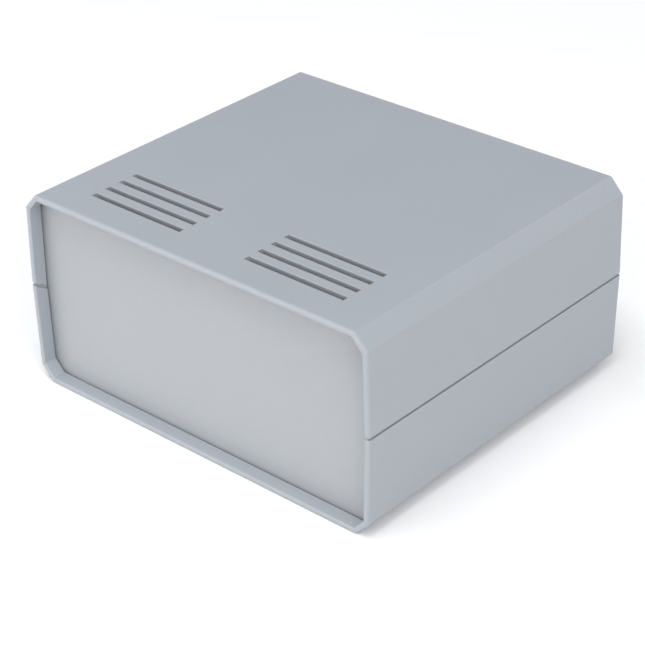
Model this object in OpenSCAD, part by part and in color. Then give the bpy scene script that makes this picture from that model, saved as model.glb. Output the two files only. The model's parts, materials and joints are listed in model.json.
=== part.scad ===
// Project box: two moulded half shells that close on a pair of slide-in end panels.
// X runs across the front, Y from front to back and Z up.
// The origin is the middle of the base.

/* [Case] */
// Width across the joint line, where the box is widest
case_w = 145; // [135:1:200]
// Depth from the front rim to the rear rim
case_d = 128; // [115:1:200]
// Height of the closed box
case_h = 70; // [60:1:100]
// Height of the joint line
joint_h = 36; // [30:1:40]
// Thickness of the shell walls
wall = 2; // [2:0.1:3]
// Lean of the side walls, in degrees
draft = 1.4; // [0.5:0.1:3]
// Width of the sloping flat along each long edge
bevel_w = 4.8; // [3:0.1:6]
// Height of the sloping flat along each long edge
bevel_h = 5.4; // [3:0.1:7]
// Outer radius where the sloping flat meets its neighbours
bevel_r = 1.4; // [1.1:0.1:2]
// Inner radius where the sloping flat meets its neighbours
inner_r = 0.9; // [0.4:0.1:1.5]
// Rounding of the outer edge of both rims
rim_r = 1; // [0.4:0.1:1]
// Rounding of the inner edge of both rims
lip_r = 0.5; // [0.2:0.1:0.8]

/* [Joint line] */
// Width of the groove that shows along the joint
seam_w = 0.9; // [0.4:0.1:1.2]
// Depth of the groove that shows along the joint
seam_d = 0.8; // [0.4:0.1:0.9]
// Chamfer on the edges of that groove
seam_lip = 0.15; // [0.1:0.05:0.4]
// Width of the flat on which the two shells meet
land_w = 0.5; // [0.4:0.1:0.7]
// Height of the tongue on the top shell
tongue_h = 2; // [1.9:0.1:3]
// Distance from the rim to the tongue
tongue_start = 1.2; // [1:0.1:2]
// Height of the tongue where it starts
tongue_lift = 0.3; // [0:0.1:1]
// Straight length of the tongue in front of the panel
tongue_flat = 0.4; // [0:0.1:1]
// Sideways clearance of the tongue
tongue_gap = 0.1; // [0.05:0.05:0.3]
// Space left under the tongue
tongue_space = 1.2; // [0.3:0.1:2]

/* [End panels] */
// Thickness of the end panels
panel_t = 2; // [1.5:0.1:3]
// Distance from the rim to the panel groove
lip_l = 4.8; // [3.5:0.1:8]
// Depth of the panel groove in the wall
groove_d = 1; // [0.6:0.1:1.2]
// Free space in front of the panel, inside its groove
panel_play = 0.6; // [0.2:0.1:1.2]
// Clearance round the edge of the panel
panel_gap = 0.25; // [0.1:0.05:0.5]
// Thickness of the rib behind the panel
rib_t = 1.6; // [1.2:0.1:3]
// Height of the rib behind the panel
rib_h = 2.6; // [1.5:0.1:4]

/* [Vents] */
// Slots in each group
vent_rows = 4; // [2:1:5]
// Width of one slot
vent_w = 2.2; // [1.5:0.1:3]
// Distance from one slot to the next
vent_pitch = 5.95; // [5:0.05:7]
// Distance from the rim to the first slot
vent_start = 12; // [11:0.1:16]
// Distance between the left and the right group
vent_split = 27; // [12:1:40]
// Plastic left between the slots and the screw posts
vent_margin = 3.7; // [2:0.1:8]

/* [Screw posts] */
// Diameter of the posts
post_d = 9; // [8.5:0.5:12]
// Plastic left between the posts and the sloping flats
post_in = 1.3; // [0.5:0.1:4]
// Gap between the posts and the rib behind the panel
post_gap = 3; // [1.5:0.5:6]
// Thickness of the webs that brace the posts
web_t = 1.6; // [1.2:0.1:2.5]
// Distance from the joint down to the top of the webs
web_drop = 4; // [3.5:0.5:10]

/* [Screws] */
// Core diameter of the case screws
screw_d = 2.6; // [2:0.1:3]
// Length of the screws under the head
screw_l = 20; // [16:1:24]
// Length of the pointed end of the screws
screw_tip = 2; // [1:0.5:3]
// Plastic between the screw head and the joint
screw_seat = 8; // [5:1:12]
// Sideways clearance of the screw in the bottom post
screw_gap = 0.4; // [0.3:0.1:0.6]
// Spare depth of the screw hole beyond the point
screw_spare = 2; // [1:0.5:4]
// Diameter of the screw head
head_d = 5.6; // [5:0.1:6]
// Height of the screw head
head_h = 2.3; // [1.8:0.1:3]
// Sideways clearance of the screw head
head_gap = 0.5; // [0.3:0.1:0.6]
// Length of the cross in the screw head
cross_l = 3; // [2:0.1:3.6]
// Width of the cross in the screw head
cross_w = 0.7; // [0.5:0.1:1]
// Depth of the cross in the screw head
cross_d = 1.3; // [0.8:0.1:1.5]

/* [Board standoffs] */
// Spacing of the standoffs across the box
board_x = 90; // [60:1:96]
// Spacing of the standoffs from front to back
board_y = 60; // [40:1:64]
// Diameter of the standoffs
stand_d = 6; // [5:0.5:8]
// Height of the standoffs above the floor
stand_h = 6; // [4:0.5:12]
// Diameter of the screw holes in the standoffs
stand_hole_d = 2.4; // [2:0.1:3]
// Depth of the screw holes in the standoffs
stand_hole_l = 6; // [4:0.5:7]

/* [Hidden] */
$fn = 48;
rim_steps = 5;
corner_steps = 4;
arch_steps = 6;
cut = 1; // how far cutting shapes reach past the surface they open

top_h = case_h - joint_h;
groove_w = panel_t + panel_play;
groove_end = lip_l + groove_w;
rib_end = groove_end + rib_t;
tongue_t = wall - seam_d - land_w - tongue_gap;
post_x = half_w(0, max(joint_h, top_h)) - bevel_w - post_in - post_d / 2;
post_y = case_d / 2 - rib_end - post_gap - post_d / 2;
screw_hole_l = screw_l - screw_seat + screw_spare;
vent_end = post_x - post_d / 2 - vent_margin;
vent_l = vent_end - vent_split / 2;
vent_back = vent_start + (vent_rows - 1) * vent_pitch + vent_w - case_d / 2;
board_y0 = (vent_back + case_d / 2 - rib_end) / 2;

// Path of the tongue from its start at the rim to the panel groove
tip_l = lip_l - tongue_flat - tongue_start;
tip_path = concat(
    [for (k = [0 : arch_steps])
        let (t = k / arch_steps)
        [tongue_start + t * tip_l, top_h + tongue_lift + t * t * (tongue_h - tongue_lift)]],
    [[lip_l, top_h + tongue_h]]
);

// Outlines are points across the box.
// A half shell of height h stands on its flat side, with the joint at the top.

// Half the outer width at height z
function half_w(z, h) = case_w / 2 - (h - z) * tan(draft);

// Half the inner width at height z
function inner_half_w(z, h) = half_w(z, h) - wall / cos(draft);

// Right side of the outline, from the flat side up to the joint
function side_points(h) = [
    [half_w(0, h) - bevel_w, 0],
    [half_w(bevel_h, h), bevel_h],
    [half_w(h, h), h]
];

// Outer outline of a half, anticlockwise
function half_points(h) =
    let (right = side_points(h))
    concat(right, [for (i = [2, 1, 0]) [-right[i][0], right[i][1]]]);
half_round = [1, 1, 0, 0, 1, 1];

// Outer outline of the closed box, anticlockwise
full_points =
    let (
        low = side_points(joint_h),
        high = side_points(top_h),
        right = concat(low, [for (i = [1, 0]) [high[i][0], case_h - high[i][1]]])
    )
    concat(right, [for (i = [4 : -1 : 0]) [-right[i][0], right[i][1]]]);
full_round = [1, 1, 0, 1, 1, 1, 1, 0, 1, 1];

function unit(v) = v / norm(v);
function normal_in(a, b) = [a[1] - b[1], b[0] - a[0]] / norm(b - a);

// Corner i after the edge before it moves in by da and the edge after it by db
function moved_corner(pts, i, da, db) =
    let (
        n = len(pts),
        a = normal_in(pts[(i + n - 1) % n], pts[i]),
        b = normal_in(pts[i], pts[(i + 1) % n])
    )
    pts[i] + [da * b[1] - db * a[1], db * a[0] - da * b[0]] / (a[0] * b[1] - a[1] * b[0]);

// Outline with edge i moved in by depths[i]
function inset(pts, depths) =
    let (n = len(pts))
    [for (i = [0 : n - 1]) moved_corner(pts, i, depths[(i + n - 1) % n], depths[i])];

// Points of the arc that rounds the corner p between the directions u and v
function corner_arc(p, u, v, r) =
    let (
        turn = atan2(u[0] * v[1] - u[1] * v[0], u * v),
        n = [-u[1], u[0]],
        centre = p - u * r * tan(turn / 2) + n * r
    )
    [for (k = [0 : corner_steps])
        let (a = turn * k / corner_steps)
        centre - r * [n[0] * cos(a) - n[1] * sin(a), n[0] * sin(a) + n[1] * cos(a)]];

// Outline with the marked corners rounded to radius r
function rounded(pts, marks, r) =
    let (n = len(pts))
    [for (i = [0 : n - 1])
        let (u = unit(pts[i] - pts[(i + n - 1) % n]), v = unit(pts[(i + 1) % n] - pts[i]))
        each marks[i] == 1 ? corner_arc(pts[i], u, v, r) : [pts[i]]];

// Outer outline of a half, moved in by d all round
function outer_ring(h, d) =
    rounded(inset(half_points(h), [d, d, d, d, d, d]), half_round, bevel_r - d);

// Inner outline of a half at depth d, left open past the joint
function inner_ring(h, d) =
    rounded(inset(half_points(h), [d, d, -cut, d, d, d]), half_round, inner_r);

// Solid through rings of points, one ring at each y
module skin(rings, y) {
    n = len(rings[0]);
    last = len(rings) - 1;
    points = [for (j = [0 : last]) for (p = rings[j]) [p[0], y[j], p[1]]];
    sides = [for (j = [0 : last - 1]) for (i = [0 : n - 1])
        [j * n + i, j * n + (i + 1) % n, (j + 1) * n + (i + 1) % n, (j + 1) * n + i]];
    front = [[for (i = [0 : n - 1]) n - 1 - i]];
    back = [[for (i = [0 : n - 1]) last * n + i]];
    polyhedron(points, concat(front, sides, back));
}

// Outline pushed from y = y0 towards the back by l
module slab(outline, y0, l) {
    translate([0, y0 + l, 0])
        rotate([90, 0, 0])
            linear_extrude(l)
                polygon(outline);
}

// Outline of depth and height, pushed from x = x0 to the right by l, with depth 0 at the front rim
module wall_slab(outline, x0, l) {
    translate([x0, -case_d / 2, 0])
        rotate([90, 0, 90])
            linear_extrude(l)
                polygon(outline);
}

// The children and their mirror image at the other end of the box
module both_ends() {
    children();
    mirror([0, 1, 0]) children();
}

// The children and their mirror image on the other side of the box
module both_sides() {
    children();
    mirror([1, 0, 0]) children();
}

// Outer form of a half shell, with both rims rounded
module half_body(h) {
    turns = [for (k = [0 : rim_steps]) 90 * k / rim_steps];
    near = [for (a = turns) rim_r * (1 - cos(a)) - case_d / 2];
    depth = [for (a = turns) rim_r * (1 - sin(a))];
    rings = [for (d = depth) outer_ring(h, d)];
    skin(
        concat(rings, [for (k = [0 : rim_steps]) rings[rim_steps - k]]),
        concat(near, [for (k = [0 : rim_steps]) -near[rim_steps - k]])
    );
}

// Flared cut that rounds the inner edge of the front rim
module mouth(h) {
    turns = [for (k = [0 : rim_steps]) 90 * k / rim_steps];
    near = [for (a = turns) lip_r * (1 - cos(a)) - case_d / 2];
    rings = [for (a = turns) inner_ring(h, wall - lip_r + lip_r * sin(a))];
    skin(concat([rings[0]], rings), concat([-case_d / 2 - cut], near));
}

// Groove for the front panel
module panel_groove(h) {
    slab(inner_ring(h, wall - groove_d), lip_l - case_d / 2, groove_w);
}

// Rib that backs the front panel
module panel_rib(h) {
    y0 = groove_end - case_d / 2;
    difference() {
        slab(outer_ring(h, 0), y0, rib_t);
        slab(inner_ring(h, wall + rib_h), y0 - cut, rib_t + 2 * cut);
    }
}

// Front right post, with webs to the side wall and to the rib
module post(h) {
    web_h = h - web_drop - wall / 2;
    translate([post_x, -post_y, wall / 2]) {
        cylinder(h = h - wall / 2, d = post_d);
        translate([0, -web_t / 2, 0])
            cube([half_w(bevel_h, h) - wall / 2 - post_x, web_t, web_h]);
        translate([-web_t / 2, -post_d / 2 - post_gap - rib_t / 2, 0])
            cube([web_t, post_d / 2 + post_gap + rib_t / 2, web_h]);
    }
}

// Slots of the right group
module vents() {
    for (row = [0 : vent_rows - 1])
        translate([vent_split / 2, vent_start + row * vent_pitch - case_d / 2, -cut])
            cube([vent_l, vent_w, wall + 2 * cut]);
}

// Half of the joint groove, cut along the right side
module seam(h) {
    floor_x = case_w / 2 - seam_d;
    lip_x = half_w(h - seam_w / 2, h) - seam_lip;
    lip_z = h - seam_w / 2;
    out = seam_lip + cut;
    outline = [
        [floor_x, h + cut],
        [floor_x, lip_z],
        [lip_x, lip_z],
        [lip_x + out, lip_z - out],
        [lip_x + out, h + cut]
    ];
    slab(outline, -case_d / 2 - cut, case_d + 2 * cut);
}

// Notch through the right wall at the front rim, half of it in each shell
module rim_notch(h) {
    floor_z = h - seam_w / 2;
    side = [
        [-cut, h + cut],
        [-cut, floor_z - seam_lip - cut],
        [seam_lip, floor_z],
        [tongue_start, floor_z],
        [tongue_start, h + cut]
    ];
    wall_slab(side, inner_half_w(h, h) - cut, wall + 2 * cut);
}

// Half shell with everything that both shells share
module half_shell(h) {
    difference() {
        union() {
            difference() {
                half_body(h);
                slab(inner_ring(h, wall), -case_d / 2 - cut, case_d + 2 * cut);
                both_ends() {
                    mouth(h);
                    panel_groove(h);
                }
            }
            intersection() {
                both_ends() {
                    panel_rib(h);
                    both_sides() post(h);
                }
                slab(inner_ring(h, wall / 2), -case_d / 2, case_d);
            }
        }
        both_sides() {
            vents();
            seam(h);
            both_ends() rim_notch(h);
        }
    }
}

// Recess along the right side that takes the tongue, with a ramp up to each rim
module tongue_recess() {
    floor_z = joint_h - tongue_h - tongue_space;
    rim_z = joint_h - seam_w / 2;
    ramp = lip_l - tongue_flat;
    side = [
        [-cut, joint_h + cut],
        [-cut, rim_z],
        [0, rim_z],
        [ramp, floor_z],
        [case_d - ramp, floor_z],
        [case_d, rim_z],
        [case_d + cut, rim_z],
        [case_d + cut, joint_h + cut]
    ];
    x0 = inner_half_w(floor_z, joint_h);
    wall_slab(side, x0, case_w / 2 - seam_d - land_w - x0);
}

// Stretch of tongue on the right side, with its edge through the points of the path
module tongue(path) {
    first = path[0];
    last = path[len(path) - 1];
    side = concat(path, [[last[0], top_h - wall], [first[0], top_h - wall]]);
    wall_slab(side, case_w / 2 - seam_d - land_w - tongue_gap - tongue_t, tongue_t);
}

module standoff() {
    difference() {
        translate([0, 0, wall / 2]) cylinder(h = stand_h + wall / 2, d = stand_d);
        translate([0, 0, wall + stand_h - stand_hole_l]) cylinder(h = stand_hole_l + cut, d = stand_hole_d);
    }
}

module bottom_shell() {
    color([0.69, 0.71, 0.73])
        difference() {
            union() {
                half_shell(joint_h);
                for (x = [-1, 1], y = [-1, 1])
                    translate([x * board_x / 2, board_y0 + y * board_y / 2, 0]) standoff();
            }
            both_sides() tongue_recess();
            for (x = [-1, 1], y = [-1, 1])
                translate([x * post_x, y * post_y, 0]) {
                    translate([0, 0, -cut])
                        cylinder(h = joint_h - screw_seat + cut, d = head_d + 2 * head_gap);
                    cylinder(h = joint_h + cut, d = screw_d + 2 * screw_gap);
                }
        }
}

module top_shell() {
    color([0.68, 0.7, 0.73])
        translate([0, 0, case_h])
            mirror([0, 0, 1])
                difference() {
                    union() {
                        half_shell(top_h);
                        both_sides() {
                            both_ends() tongue(tip_path);
                            tongue([for (y = [groove_end, case_d - groove_end]) [y, top_h + tongue_h]]);
                        }
                    }
                    for (x = [-1, 1], y = [-1, 1])
                        translate([x * post_x, y * post_y, top_h - screw_hole_l])
                            cylinder(h = screw_hole_l + cut, d = screw_d);
                }
}

// Front panel, resting in the bottom of its groove and against the rib
module panel() {
    depth = wall - groove_d + panel_gap;
    outline = rounded(inset(full_points, [for (p = full_points) depth]), full_round, inner_r);
    translate([0, 0, -panel_gap])
        slab(outline, lip_l + panel_play - case_d / 2, panel_t);
}

module front_panel() {
    color([0.74, 0.76, 0.78]) panel();
}

module rear_panel() {
    color([0.74, 0.76, 0.78]) mirror([0, 1, 0]) panel();
}

// Self-tapping screw with a domed head, standing on its head
module case_screw() {
    difference() {
        rotate_extrude()
            polygon(concat(
                [[0, 0]],
                [for (a = [0 : 15 : 90]) [head_d / 2 - head_h / 2 * (1 - sin(a)), head_h / 2 * (1 - cos(a))]],
                [
                    [head_d / 2, head_h],
                    [screw_d / 2, head_h],
                    [screw_d / 2, head_h + screw_l - screw_tip],
                    [0, head_h + screw_l]
                ]
            ));
        for (turn = [0, 90])
            rotate([0, 0, turn])
                translate([-cross_l / 2, -cross_w / 2, -cut])
                    cube([cross_l, cross_w, cross_d + cut]);
    }
}

module case_screws() {
    color([0.62, 0.62, 0.64])
        for (x = [-1, 1], y = [-1, 1])
            translate([x * post_x, y * post_y, joint_h - screw_seat - head_h]) case_screw();
}

bottom_shell();
top_shell();
front_panel();
rear_panel();
case_screws();
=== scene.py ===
import json
import math

import bmesh
import bpy
from mathutils import Matrix, Vector

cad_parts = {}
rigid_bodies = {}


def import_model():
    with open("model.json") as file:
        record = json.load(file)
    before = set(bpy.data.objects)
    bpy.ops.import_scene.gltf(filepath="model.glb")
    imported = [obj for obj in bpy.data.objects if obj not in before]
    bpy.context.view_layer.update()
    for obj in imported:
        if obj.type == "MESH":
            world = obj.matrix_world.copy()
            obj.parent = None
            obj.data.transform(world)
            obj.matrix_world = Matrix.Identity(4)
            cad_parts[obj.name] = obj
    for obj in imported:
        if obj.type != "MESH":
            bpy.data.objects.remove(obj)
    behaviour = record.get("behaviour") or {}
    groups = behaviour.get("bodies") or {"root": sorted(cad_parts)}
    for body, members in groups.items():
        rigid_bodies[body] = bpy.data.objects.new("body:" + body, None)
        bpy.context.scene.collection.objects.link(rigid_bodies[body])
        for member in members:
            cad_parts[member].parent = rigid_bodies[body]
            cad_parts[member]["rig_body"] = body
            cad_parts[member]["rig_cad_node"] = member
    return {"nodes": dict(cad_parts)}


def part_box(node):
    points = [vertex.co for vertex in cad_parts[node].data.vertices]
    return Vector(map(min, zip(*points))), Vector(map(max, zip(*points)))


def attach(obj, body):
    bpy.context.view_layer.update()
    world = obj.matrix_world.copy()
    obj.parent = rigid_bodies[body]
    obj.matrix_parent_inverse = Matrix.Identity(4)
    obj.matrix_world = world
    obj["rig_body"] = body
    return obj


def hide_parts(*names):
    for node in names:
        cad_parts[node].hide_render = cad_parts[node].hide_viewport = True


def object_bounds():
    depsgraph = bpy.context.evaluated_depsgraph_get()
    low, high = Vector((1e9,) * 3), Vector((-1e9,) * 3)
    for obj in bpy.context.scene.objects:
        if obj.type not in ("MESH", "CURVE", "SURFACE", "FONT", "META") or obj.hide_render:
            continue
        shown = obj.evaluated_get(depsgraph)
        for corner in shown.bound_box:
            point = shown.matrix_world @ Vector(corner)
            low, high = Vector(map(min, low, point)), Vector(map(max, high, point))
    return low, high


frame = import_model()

cadBox = [list(corner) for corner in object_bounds()]
scene = bpy.context.scene
scene.view_settings.view_transform = "Standard"
scene.view_settings.look = "None"


def clearSelection():
    if bpy.context.mode != "OBJECT":
        bpy.ops.object.mode_set(mode="OBJECT")
    bpy.ops.object.select_all(action="DESELECT")


def makeActive(piece):
    clearSelection()
    bpy.context.view_layer.objects.active = piece
    piece.select_set(True)


def newGroup(name, inputs, outputs):
    group = bpy.data.node_groups.new(name, "ShaderNodeTree")
    for socketName, socketType, value in inputs:
        socket = group.interface.new_socket(socketName, in_out="INPUT", socket_type=socketType)
        if value is not None:
            socket.default_value = value
    for socketName, socketType in outputs:
        group.interface.new_socket(socketName, in_out="OUTPUT", socket_type=socketType)
    return group, group.nodes.new("NodeGroupInput"), group.nodes.new("NodeGroupOutput")


def addNode(tree, kind, settings=None, values=None):
    node = tree.nodes.new(kind)
    for key, value in (settings or {}).items():
        setattr(node, key, value)
    for key, value in (values or {}).items():
        node.inputs[key].default_value = value
    return node


def addTexture(tree, kind, vector, size, settings=None, values=None):
    # vector and size are sockets, and the size of the marks is in metres
    texture = addNode(tree, kind, settings, values)
    scale = addNode(tree, "ShaderNodeMath", {"operation": "DIVIDE"}, {0: 1.0})
    tree.links.new(size, scale.inputs[1])
    tree.links.new(scale.outputs[0], texture.inputs["Scale"])
    tree.links.new(vector, texture.inputs["Vector"])
    return texture


def addRange(tree, value, source, target):
    # moves a socket's value from the source span to the target span
    spread = addNode(tree, "ShaderNodeMapRange")
    for key, number in zip(("From Min", "From Max", "To Min", "To Max"), source + target):
        spread.inputs[key].default_value = number
    tree.links.new(value, spread.inputs["Value"])
    return spread.outputs["Result"]


def addBump(tree, height, strength, depth):
    bump = addNode(tree, "ShaderNodeBump", None, {"Strength": strength, "Distance": depth})
    tree.links.new(height, bump.inputs["Height"])
    tree.links.new(bump.outputs["Normal"], tree.nodes["Principled BSDF"].inputs["Normal"])


noiseSpan = (0.3, 0.7)  # most values of a noise texture lie between these
edgeSpan = (0.995, 0.9)  # how alike the plain and the rounded normals are beside an edge and on it


def buildMouldedGrain():
    # fine spark-eroded texture of a moulding: a height for bump and masks for colour and gloss
    group, groupIn, groupOut = newGroup(
        "mouldedGrain",
        [
            ("Vector", "NodeSocketVector", None),
            ("Grain Size", "NodeSocketFloat", 0.0004),
            ("Cloud Size", "NodeSocketFloat", 0.03),
        ],
        [("Height", "NodeSocketFloat"), ("Speckle", "NodeSocketFloat"), ("Cloud", "NodeSocketFloat")],
    )
    links = group.links
    place = groupIn.outputs["Vector"]
    grainSize = groupIn.outputs["Grain Size"]
    cloudSize = groupIn.outputs["Cloud Size"]
    fineLook = {"Detail": 2.0, "Roughness": 0.55}
    cloudLook = {"Detail": 3.0, "Roughness": 0.5}
    fineNoise = addTexture(group, "ShaderNodeTexNoise", place, grainSize, None, fineLook)
    cells = addTexture(
        group, "ShaderNodeTexVoronoi", place, grainSize, {"feature": "SMOOTH_F1"}, {"Smoothness": 0.6}
    )
    cloudNoise = addTexture(group, "ShaderNodeTexNoise", place, cloudSize, None, cloudLook)
    height = addNode(group, "ShaderNodeMath", {"operation": "MULTIPLY_ADD"}, {1: 0.5})  # cells count half
    links.new(cells.outputs["Distance"], height.inputs[0])
    links.new(fineNoise.outputs["Fac"], height.inputs[2])
    links.new(height.outputs[0], groupOut.inputs["Height"])
    links.new(fineNoise.outputs["Fac"], groupOut.inputs["Speckle"])
    links.new(cloudNoise.outputs["Fac"], groupOut.inputs["Cloud"])
    return group


def buildPaintedEdgeHighlight():
    # mask that is 1 along outside edges, broken up by noise: it paints a highlight on the edges
    group, groupIn, groupOut = newGroup(
        "paintedEdgeHighlight",
        [
            ("Vector", "NodeSocketVector", None),
            ("Width", "NodeSocketFloat", 0.0006),
            ("Patch Size", "NodeSocketFloat", 0.004),
        ],
        [("Mask", "NodeSocketFloat")],
    )
    links = group.links
    rounded = addNode(group, "ShaderNodeBevel", {"samples": 4})
    links.new(groupIn.outputs["Width"], rounded.inputs["Radius"])
    flat = addNode(group, "ShaderNodeNewGeometry")
    alike = addNode(group, "ShaderNodeVectorMath", {"operation": "DOT_PRODUCT"})
    links.new(rounded.outputs["Normal"], alike.inputs[0])
    links.new(flat.outputs["Normal"], alike.inputs[1])
    place = groupIn.outputs["Vector"]
    patchSize = groupIn.outputs["Patch Size"]
    patches = addTexture(group, "ShaderNodeTexNoise", place, patchSize, None, {"Detail": 3.0})
    mask = addNode(group, "ShaderNodeMath", {"operation": "MULTIPLY"})
    links.new(addRange(group, alike.outputs["Value"], edgeSpan, (0.0, 1.0)), mask.inputs[0])
    links.new(addRange(group, patches.outputs["Fac"], noiseSpan, (0.4, 1.0)), mask.inputs[1])
    links.new(mask.outputs[0], groupOut.inputs["Mask"])
    return group


def buildPlatedMarks():
    # zinc plating: soft patches of tone and fine marks that run round each screw
    group, groupIn, groupOut = newGroup(
        "platedMarks",
        [
            ("Vector", "NodeSocketVector", None),
            ("Patch Size", "NodeSocketFloat", 0.0012),
            ("Mark Size", "NodeSocketFloat", 0.00012),
        ],
        [("Tone", "NodeSocketFloat"), ("Marks", "NodeSocketFloat")],
    )
    links = group.links
    place = groupIn.outputs["Vector"]
    patchSize = groupIn.outputs["Patch Size"]
    markSize = groupIn.outputs["Mark Size"]
    patchLook = {"Detail": 4.0, "Roughness": 0.6}
    patches = addTexture(group, "ShaderNodeTexNoise", place, patchSize, None, patchLook)
    stretched = addNode(group, "ShaderNodeMapping", None, {"Scale": (0.15, 0.15, 1.0)})
    links.new(place, stretched.inputs["Vector"])
    marks = addTexture(
        group, "ShaderNodeTexNoise", stretched.outputs["Vector"], markSize, None, {"Detail": 2.0}
    )
    links.new(patches.outputs["Fac"], groupOut.inputs["Tone"])
    links.new(marks.outputs["Fac"], groupOut.inputs["Marks"])
    return group


mouldedGrain = buildMouldedGrain()
paintedEdgeHighlight = buildPaintedEdgeHighlight()
platedMarks = buildPlatedMarks()


def startMaterial(name, group, sizes):
    # gives the material, the socket that places its patterns, and the first pattern
    material = bpy.data.materials.new(name)
    material.use_nodes = True
    tree = material.node_tree
    place = addNode(tree, "ShaderNodeTexCoord").outputs["Object"]
    pattern = addNode(tree, "ShaderNodeGroup", {"node_tree": group}, sizes)
    tree.links.new(place, pattern.inputs["Vector"])
    return material, place, pattern


shellLook = {
    "dark": (0.35, 0.374, 0.409, 1),
    "light": (0.361, 0.386, 0.421, 1),
    # edge is a painted highlight colour, lighter than the plastic, laid along the outside edges
    "edge": (0.41, 0.434, 0.464, 1),
    "speckle": 0.008,
    "grainSize": 0.0005,
    "grainDepth": 0.00003,
    "cloudSize": 0.035,
    "edgeWidth": 0.0005,
    "patchSize": 0.006,
    "bump": 0.35,
    "roughLow": 0.46,
    "roughHigh": 0.52,
    "ior": 1.53,
    "specular": 0.5,
}
# the panels are the shell's plastic; their colours are painted a little lighter and less blue for the light
# that falls on the front
panelLookPaintedLight = dict(
    shellLook,
    dark=(0.363, 0.382, 0.406, 1),
    light=(0.374, 0.393, 0.417, 1),
    grainSize=0.0006,
    roughLow=0.42,
    roughHigh=0.47,
    bump=0.2,
)


def mouldedPlastic(name, look):
    # clouded and speckled colour, with a painted highlight along the outside edges
    grainSizes = {"Grain Size": look["grainSize"], "Cloud Size": look["cloudSize"]}
    material, place, grain = startMaterial(name, mouldedGrain, grainSizes)
    tree = material.node_tree
    links = tree.links
    shader = tree.nodes["Principled BSDF"]
    shader.inputs["IOR"].default_value = look["ior"]
    shader.inputs["Specular IOR Level"].default_value = look["specular"]
    edgeHighlightSizes = {"Width": look["edgeWidth"], "Patch Size": look["patchSize"]}
    edgeHighlight = addNode(tree, "ShaderNodeGroup", {"node_tree": paintedEdgeHighlight}, edgeHighlightSizes)
    links.new(place, edgeHighlight.inputs["Vector"])
    clouded = addNode(tree, "ShaderNodeMix", {"data_type": "RGBA"}, {"A": look["dark"], "B": look["light"]})
    links.new(grain.outputs["Cloud"], clouded.inputs["Factor"])
    speckleSpan = (-look["speckle"], look["speckle"])
    speckled = addNode(tree, "ShaderNodeVectorMath", {"operation": "ADD"})
    links.new(clouded.outputs["Result"], speckled.inputs[0])
    links.new(addRange(tree, grain.outputs["Speckle"], noiseSpan, speckleSpan), speckled.inputs[1])
    # painted highlight: the colour goes lighter along the outside edges
    highlighted = addNode(tree, "ShaderNodeMix", {"data_type": "RGBA"}, {"B": look["edge"]})
    links.new(edgeHighlight.outputs["Mask"], highlighted.inputs["Factor"])
    links.new(speckled.outputs[0], highlighted.inputs["A"])
    links.new(highlighted.outputs["Result"], shader.inputs["Base Color"])
    glossSpan = (look["roughLow"], look["roughHigh"])
    links.new(addRange(tree, grain.outputs["Cloud"], noiseSpan, glossSpan), shader.inputs["Roughness"])
    addBump(tree, grain.outputs["Height"], look["bump"], look["grainDepth"])
    return material


steelLook = {
    "dark": (0.5, 0.5, 0.5, 1),
    "light": (0.66, 0.66, 0.64, 1),
    "patchSize": 0.0014,
    "markSize": 0.00012,
    "markDepth": 0.00001,
    "bump": 0.3,
    "roughLow": 0.26,
    "roughHigh": 0.4,
}


def platedSteel(name, look):
    # bright metal with patches of tone and fine marks in its gloss
    markSizes = {"Patch Size": look["patchSize"], "Mark Size": look["markSize"]}
    material, _, plating = startMaterial(name, platedMarks, markSizes)
    tree = material.node_tree
    links = tree.links
    shader = tree.nodes["Principled BSDF"]
    shader.inputs["Metallic"].default_value = 1
    toned = addNode(tree, "ShaderNodeMix", {"data_type": "RGBA"}, {"A": look["dark"], "B": look["light"]})
    links.new(plating.outputs["Tone"], toned.inputs["Factor"])
    links.new(toned.outputs["Result"], shader.inputs["Base Color"])
    glossSpan = (look["roughLow"], look["roughHigh"])
    links.new(addRange(tree, plating.outputs["Marks"], noiseSpan, glossSpan), shader.inputs["Roughness"])
    addBump(tree, plating.outputs["Marks"], look["bump"], look["markDepth"])
    return material


shellPlastic = mouldedPlastic("shellPlastic", shellLook)
# the panels' copy of the shell plastic, with painted light in its colours
panelPlasticPaintedLight = mouldedPlastic("panelPlasticPaintedLight", panelLookPaintedLight)
screwSteel = platedSteel("screwSteel", steelLook)
print("materials ready")


shellEdges = {
    "mergeDistance": 0.000002,
    "flatAngle": 0.6,
    "sharpAngle": 50,
    "smoothAngle": 40,
    "shortest": 0.0002,
    "round": 0.00018,
    "segments": 2,
    "crispZone": 0.005,  # edges this close to the joint line stay sharp
}
panelEdges = dict(shellEdges, crispZone=0)
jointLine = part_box("bottom_shell")[1][2]


def copySolid(node, name):
    # a copy of the solid that is free of its body
    source = frame["nodes"][node]
    piece = source.copy()
    piece.data = source.data.copy()
    piece.name = name
    piece.data.name = name
    piece.hide_render = False
    piece.hide_viewport = False
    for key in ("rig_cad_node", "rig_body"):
        if key in piece:
            del piece[key]
    piece.parent = None
    scene.collection.objects.link(piece)
    return piece


def joinFlatFaces(piece, edges):
    # a solid's mesh is loose triangles, which are merged and made whole faces again
    makeActive(piece)
    if piece.data.has_custom_normals:
        bpy.ops.mesh.customdata_custom_splitnormals_clear()
    bpy.ops.object.mode_set(mode="EDIT")
    bpy.ops.mesh.select_all(action="SELECT")
    bpy.ops.mesh.remove_doubles(threshold=edges["mergeDistance"])
    bpy.ops.mesh.dissolve_limited(angle_limit=math.radians(edges["flatAngle"]))
    bpy.ops.object.mode_set(mode="OBJECT")


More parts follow.
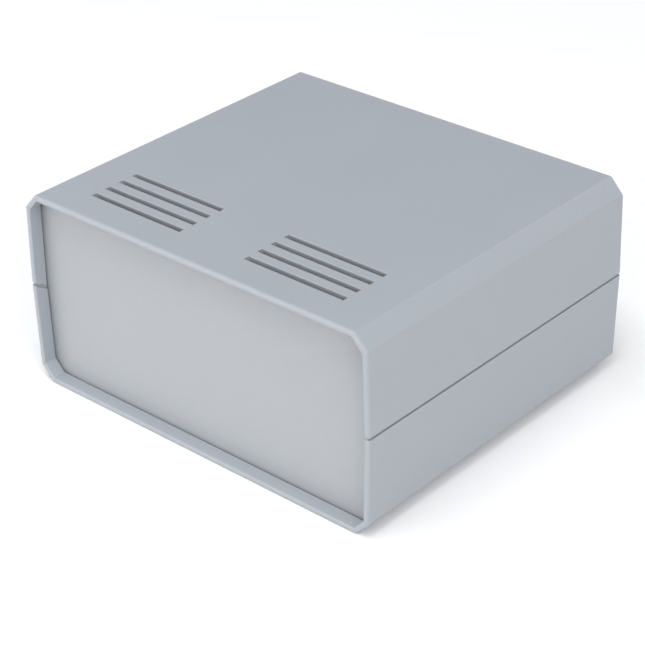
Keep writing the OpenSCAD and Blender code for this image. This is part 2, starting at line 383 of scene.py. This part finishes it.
def markOutsideEdges(piece, edges):
    mesh = bmesh.new()
    mesh.from_mesh(piece.data)
    weights = mesh.edges.layers.float.new("bevel_weight_edge")
    sharp = math.radians(edges["sharpAngle"])
    for edge in mesh.edges:
        outside = edge.is_manifold and edge.is_convex and edge.calc_face_angle() > sharp
        away = min(abs(corner.co.z - jointLine) for corner in edge.verts) >= edges["crispZone"]
        if outside and away and edge.calc_length() > edges["shortest"]:
            edge[weights] = 1
    mesh.to_mesh(piece.data)
    mesh.free()


def buildMoulding(node, name, material, edges):
    # stands for a solid, with its outside edges broken and its faces shaded evenly
    piece = copySolid(node, name)
    joinFlatFaces(piece, edges)
    markOutsideEdges(piece, edges)
    rounding = piece.modifiers.new("brokenEdges", "BEVEL")
    rounding.limit_method = "WEIGHT"
    rounding.width = edges["round"]
    rounding.segments = edges["segments"]
    rounding.use_clamp_overlap = False
    bpy.ops.object.modifier_apply(modifier="brokenEdges")
    bpy.ops.object.shade_smooth_by_angle(angle=math.radians(edges["smoothAngle"]))
    evened = piece.modifiers.new("evenNormals", "WEIGHTED_NORMAL")
    evened.keep_sharp = True
    bpy.ops.object.modifier_apply(modifier="evenNormals")
    piece.data.materials.clear()
    piece.data.materials.append(material)
    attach(piece, "root")
    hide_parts(node)


buildMoulding("bottom_shell", "bottomMoulding", shellPlastic, shellEdges)
buildMoulding("top_shell", "topMoulding", shellPlastic, shellEdges)
buildMoulding("front_panel", "frontPlate", panelPlasticPaintedLight, panelEdges)
buildMoulding("rear_panel", "rearPlate", panelPlasticPaintedLight, panelEdges)
print("mouldings ready")


# the screws stand on their heads: z runs from the head to the point
screwLook = {
    "headWidth": 0.0056,
    "headHeight": 0.0023,
    "coreWidth": 0.0026,
    "length": 0.020,
    "tip": 0.002,
    "threadDepth": 0.00035,
    "threadPitch": 0.0012,
    "threadStart": 0.0012,
    "crossLength": 0.003,
    "crossWidth": 0.0007,
    "crossDepth": 0.0013,
    "crossTaper": 0.55,
    "sides": 48,
    "rimSteps": 6,
    "threadSteps": 24,
    "smoothAngle": 35,
}


def selectByHeight(piece, low, high):
    # in edit mode, selects the points whose height lies between low and high
    bpy.ops.mesh.select_all(action="DESELECT")
    bpy.ops.mesh.select_mode(type="VERT")
    mesh = bmesh.from_edit_mesh(piece.data)
    for corner in mesh.verts:
        corner.select = low <= corner.co.z <= high
    mesh.select_flush(True)
    bmesh.update_edit_mesh(piece.data)


def settle(piece):
    makeActive(piece)
    bpy.ops.object.transform_apply(location=True, rotation=True, scale=True)


def buildScrewHead(look):
    # drum with a rounded rim below and a tapered cross recess
    height = look["headHeight"]
    tiny = height / 100
    clearSelection()
    bpy.ops.mesh.primitive_cylinder_add(
        vertices=look["sides"],
        radius=look["headWidth"] / 2,
        depth=height,
        location=(0, 0, height / 2),
    )
    head = bpy.context.object
    settle(head)
    bpy.ops.object.mode_set(mode="EDIT")
    selectByHeight(head, -tiny, tiny)
    bpy.ops.mesh.bevel(offset=height / 2, segments=look["rimSteps"], affect="EDGES")
    bpy.ops.object.mode_set(mode="OBJECT")
    clearSelection()
    bpy.ops.mesh.primitive_cube_add(size=1, location=(0, 0, 0))
    bit = bpy.context.object
    bit.scale = (look["crossWidth"], look["crossWidth"], 2 * look["crossDepth"])
    settle(bit)
    bpy.ops.object.mode_set(mode="EDIT")
    bpy.ops.mesh.select_mode(type="FACE")
    bpy.ops.mesh.select_all(action="DESELECT")
    mesh = bmesh.from_edit_mesh(bit.data)
    for face in mesh.faces:
        face.select = abs(face.normal.z) < 0.5
    bmesh.update_edit_mesh(bit.data)
    reach = (look["crossLength"] - look["crossWidth"]) / 2
    bpy.ops.mesh.extrude_faces_move(TRANSFORM_OT_shrink_fatten={"value": reach})
    selectByHeight(bit, look["crossDepth"] / 2, look["crossDepth"] * 2)
    taper = look["crossTaper"]
    bpy.ops.transform.resize(value=(taper, taper, 1), center_override=(0, 0, 0))
    bpy.ops.mesh.select_all(action="SELECT")
    bpy.ops.mesh.normals_make_consistent(inside=False)
    bpy.ops.object.mode_set(mode="OBJECT")
    recess = head.modifiers.new("recess", "BOOLEAN")
    recess.operation = "DIFFERENCE"
    recess.object = bit
    makeActive(head)
    bpy.ops.object.modifier_apply(modifier="recess")
    makeActive(bit)
    bpy.ops.object.delete()
    return head


def buildScrewShank(look):
    # core with a point, sunk a little into the head
    sunk = look["headHeight"] / 4
    straight = look["length"] - look["tip"] + sunk
    clearSelection()
    bpy.ops.mesh.primitive_cylinder_add(
        vertices=look["sides"],
        radius=look["coreWidth"] / 2,
        depth=straight,
        location=(0, 0, look["headHeight"] - sunk + straight / 2),
    )
    shank = bpy.context.object
    settle(shank)
    top = look["headHeight"] + look["length"] - look["tip"]
    bpy.ops.object.mode_set(mode="EDIT")
    selectByHeight(shank, top - look["tip"] / 10, top + look["tip"])
    bpy.ops.mesh.extrude_region_move(TRANSFORM_OT_translate={"value": (0, 0, look["tip"])})
    bpy.ops.mesh.merge(type="CENTER")
    bpy.ops.object.mode_set(mode="OBJECT")
    return shank


def buildScrewThread(look):
    # three-sided ridge wound round the core, closed at both ends
    turns = int((look["length"] - look["tip"] - look["threadStart"]) / look["threadPitch"])
    clearSelection()
    bpy.ops.mesh.primitive_circle_add(vertices=3, radius=look["threadDepth"], location=(0, 0, 0))
    thread = bpy.context.object
    thread.rotation_euler = (0, 0, -math.pi / 2)  # one corner points along X
    settle(thread)
    thread.rotation_euler = (math.pi / 2, 0, 0)  # the profile stands upright
    thread.location = (look["coreWidth"] / 2, 0, look["headHeight"] + look["threadStart"])
    settle(thread)
    winding = thread.modifiers.new("winding", "SCREW")
    winding.axis = "Z"
    winding.angle = 2 * math.pi
    winding.screw_offset = look["threadPitch"]
    winding.iterations = turns
    winding.steps = look["threadSteps"]
    winding.render_steps = look["threadSteps"]
    makeActive(thread)
    bpy.ops.object.modifier_apply(modifier="winding")
    bpy.ops.object.mode_set(mode="EDIT")
    bpy.ops.mesh.select_all(action="SELECT")
    bpy.ops.mesh.fill_holes(sides=4)
    bpy.ops.mesh.normals_make_consistent(inside=False)
    bpy.ops.object.mode_set(mode="OBJECT")
    return thread


def joinPieces(parts):
    makeActive(parts[0])
    for part in parts[1:]:
        part.select_set(True)
    bpy.ops.object.join()
    return bpy.context.object


def buildScrews(look):
    # one screw, then copies of it at the corners of the solids' own box
    screw = joinPieces([buildScrewHead(look), buildScrewShank(look), buildScrewThread(look)])
    makeActive(screw)
    bpy.ops.object.shade_smooth_by_angle(angle=math.radians(look["smoothAngle"]))
    low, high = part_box("case_screws")
    across = high[0] - look["headWidth"] / 2
    along = high[1] - look["headWidth"] / 2
    placed = []
    for x, y in ((across, along), (-across, along), (-across, -along), (across, -along)):
        makeActive(screw)
        bpy.ops.object.duplicate()
        bpy.ops.transform.translate(value=(x, y, low[2]))
        bpy.ops.object.transform_apply(location=True, rotation=True, scale=True)
        placed.append(bpy.context.object)
    makeActive(screw)
    bpy.ops.object.delete()
    screws = joinPieces(placed)
    screws.name = "caseScrews"
    screws.data.name = "caseScrews"
    screws.data.materials.clear()
    screws.data.materials.append(screwSteel)
    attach(screws, "root")
    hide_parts("case_screws")


buildScrews(screwLook)
print("screws ready")


studio = {
    "floorSize": 6,
    "floorColour": (0.94, 0.94, 0.94, 1),
    "floorRoughness": 0.9,
    "worldColour": (1, 1, 1, 1),
    "worldStrength": 0.15,
    "lampTarget": (0, 0, 0.03),
}

bpy.ops.mesh.primitive_plane_add(size=studio["floorSize"], location=(0, 0, cadBox[0][2]))
floor = bpy.context.object
floor.name = "floor"
floorPaper = bpy.data.materials.new("floorPaper")
floorPaper.use_nodes = True
paper = floorPaper.node_tree.nodes["Principled BSDF"]
paper.inputs["Base Color"].default_value = studio["floorColour"]
paper.inputs["Roughness"].default_value = studio["floorRoughness"]
floor.data.materials.append(floorPaper)

world = bpy.data.worlds.new("studio")
world.use_nodes = True
backdrop = world.node_tree.nodes["Background"]
backdrop.inputs["Color"].default_value = studio["worldColour"]
backdrop.inputs["Strength"].default_value = studio["worldStrength"]
scene.world = world

coolWhite = (0.95, 0.975, 1)
warmWhite = (1, 0.985, 0.955)
squareSize = (1.4, 1.4)
lampLooks = {
    "overhead": {"at": (0, -0.42, 1.6), "size": (1, 0.8), "power": 13.2, "colour": coolWhite},
    "keyBox": {"at": (0.9, -1.1, 1.6), "size": squareSize, "power": 13.7, "colour": (1, 1, 1)},
    "rightBox": {"at": (1.7, -0.6, 0.9), "size": squareSize, "power": 16.5, "colour": (1, 0.985, 0.98)},
    "leftBox": {"at": (-1.8, 0.2, 0.9), "size": squareSize, "power": 10.5, "colour": coolWhite},
    "rearBox": {"at": (0.2, 1.9, 0.9), "size": squareSize, "power": 11.2, "colour": coolWhite},
    "frontStrip": {"at": (-0.75, -1.3, 0.32), "size": (1.2, 0.5), "power": 10.1, "colour": warmWhite},
}


def addLamp(name, look, target):
    lamp = bpy.data.lights.new(name, "AREA")
    lamp.shape = "RECTANGLE"
    lamp.size, lamp.size_y = look["size"]
    lamp.energy = look["power"]
    lamp.color = look["colour"]
    holder = bpy.data.objects.new(name, lamp)
    holder.location = look["at"]
    towards = Vector(target) - Vector(look["at"])
    holder.rotation_euler = towards.to_track_quat("-Z", "Y").to_euler()
    scene.collection.objects.link(holder)


for lampName, lampLook in lampLooks.items():
    addLamp(lampName, lampLook, studio["lampTarget"])

cameraLook = {
    "place": (0.38067, -0.4276, 0.35521),
    "turn": 41.818,
    "tilt": 30.406,
    "roll": -1.148,
    "lens": 111.4995,
    "sensor": 36,
    "nearest": 0.01,
    "farthest": 20,
}
eye = bpy.data.cameras.new("camera")
eye.sensor_width = cameraLook["sensor"]
eye.lens = cameraLook["lens"]
eye.clip_start = cameraLook["nearest"]
eye.clip_end = cameraLook["farthest"]
camera = bpy.data.objects.new("camera", eye)
turned = Matrix.Rotation(math.radians(cameraLook["turn"]), 4, "Z")
tilted = Matrix.Rotation(math.radians(90 - cameraLook["tilt"]), 4, "X")
rolled = Matrix.Rotation(math.radians(cameraLook["roll"]), 4, "Z")
camera.matrix_world = Matrix.Translation(cameraLook["place"]) @ turned @ tilted @ rolled
scene.collection.objects.link(camera)
scene.camera = camera
print("studio ready")
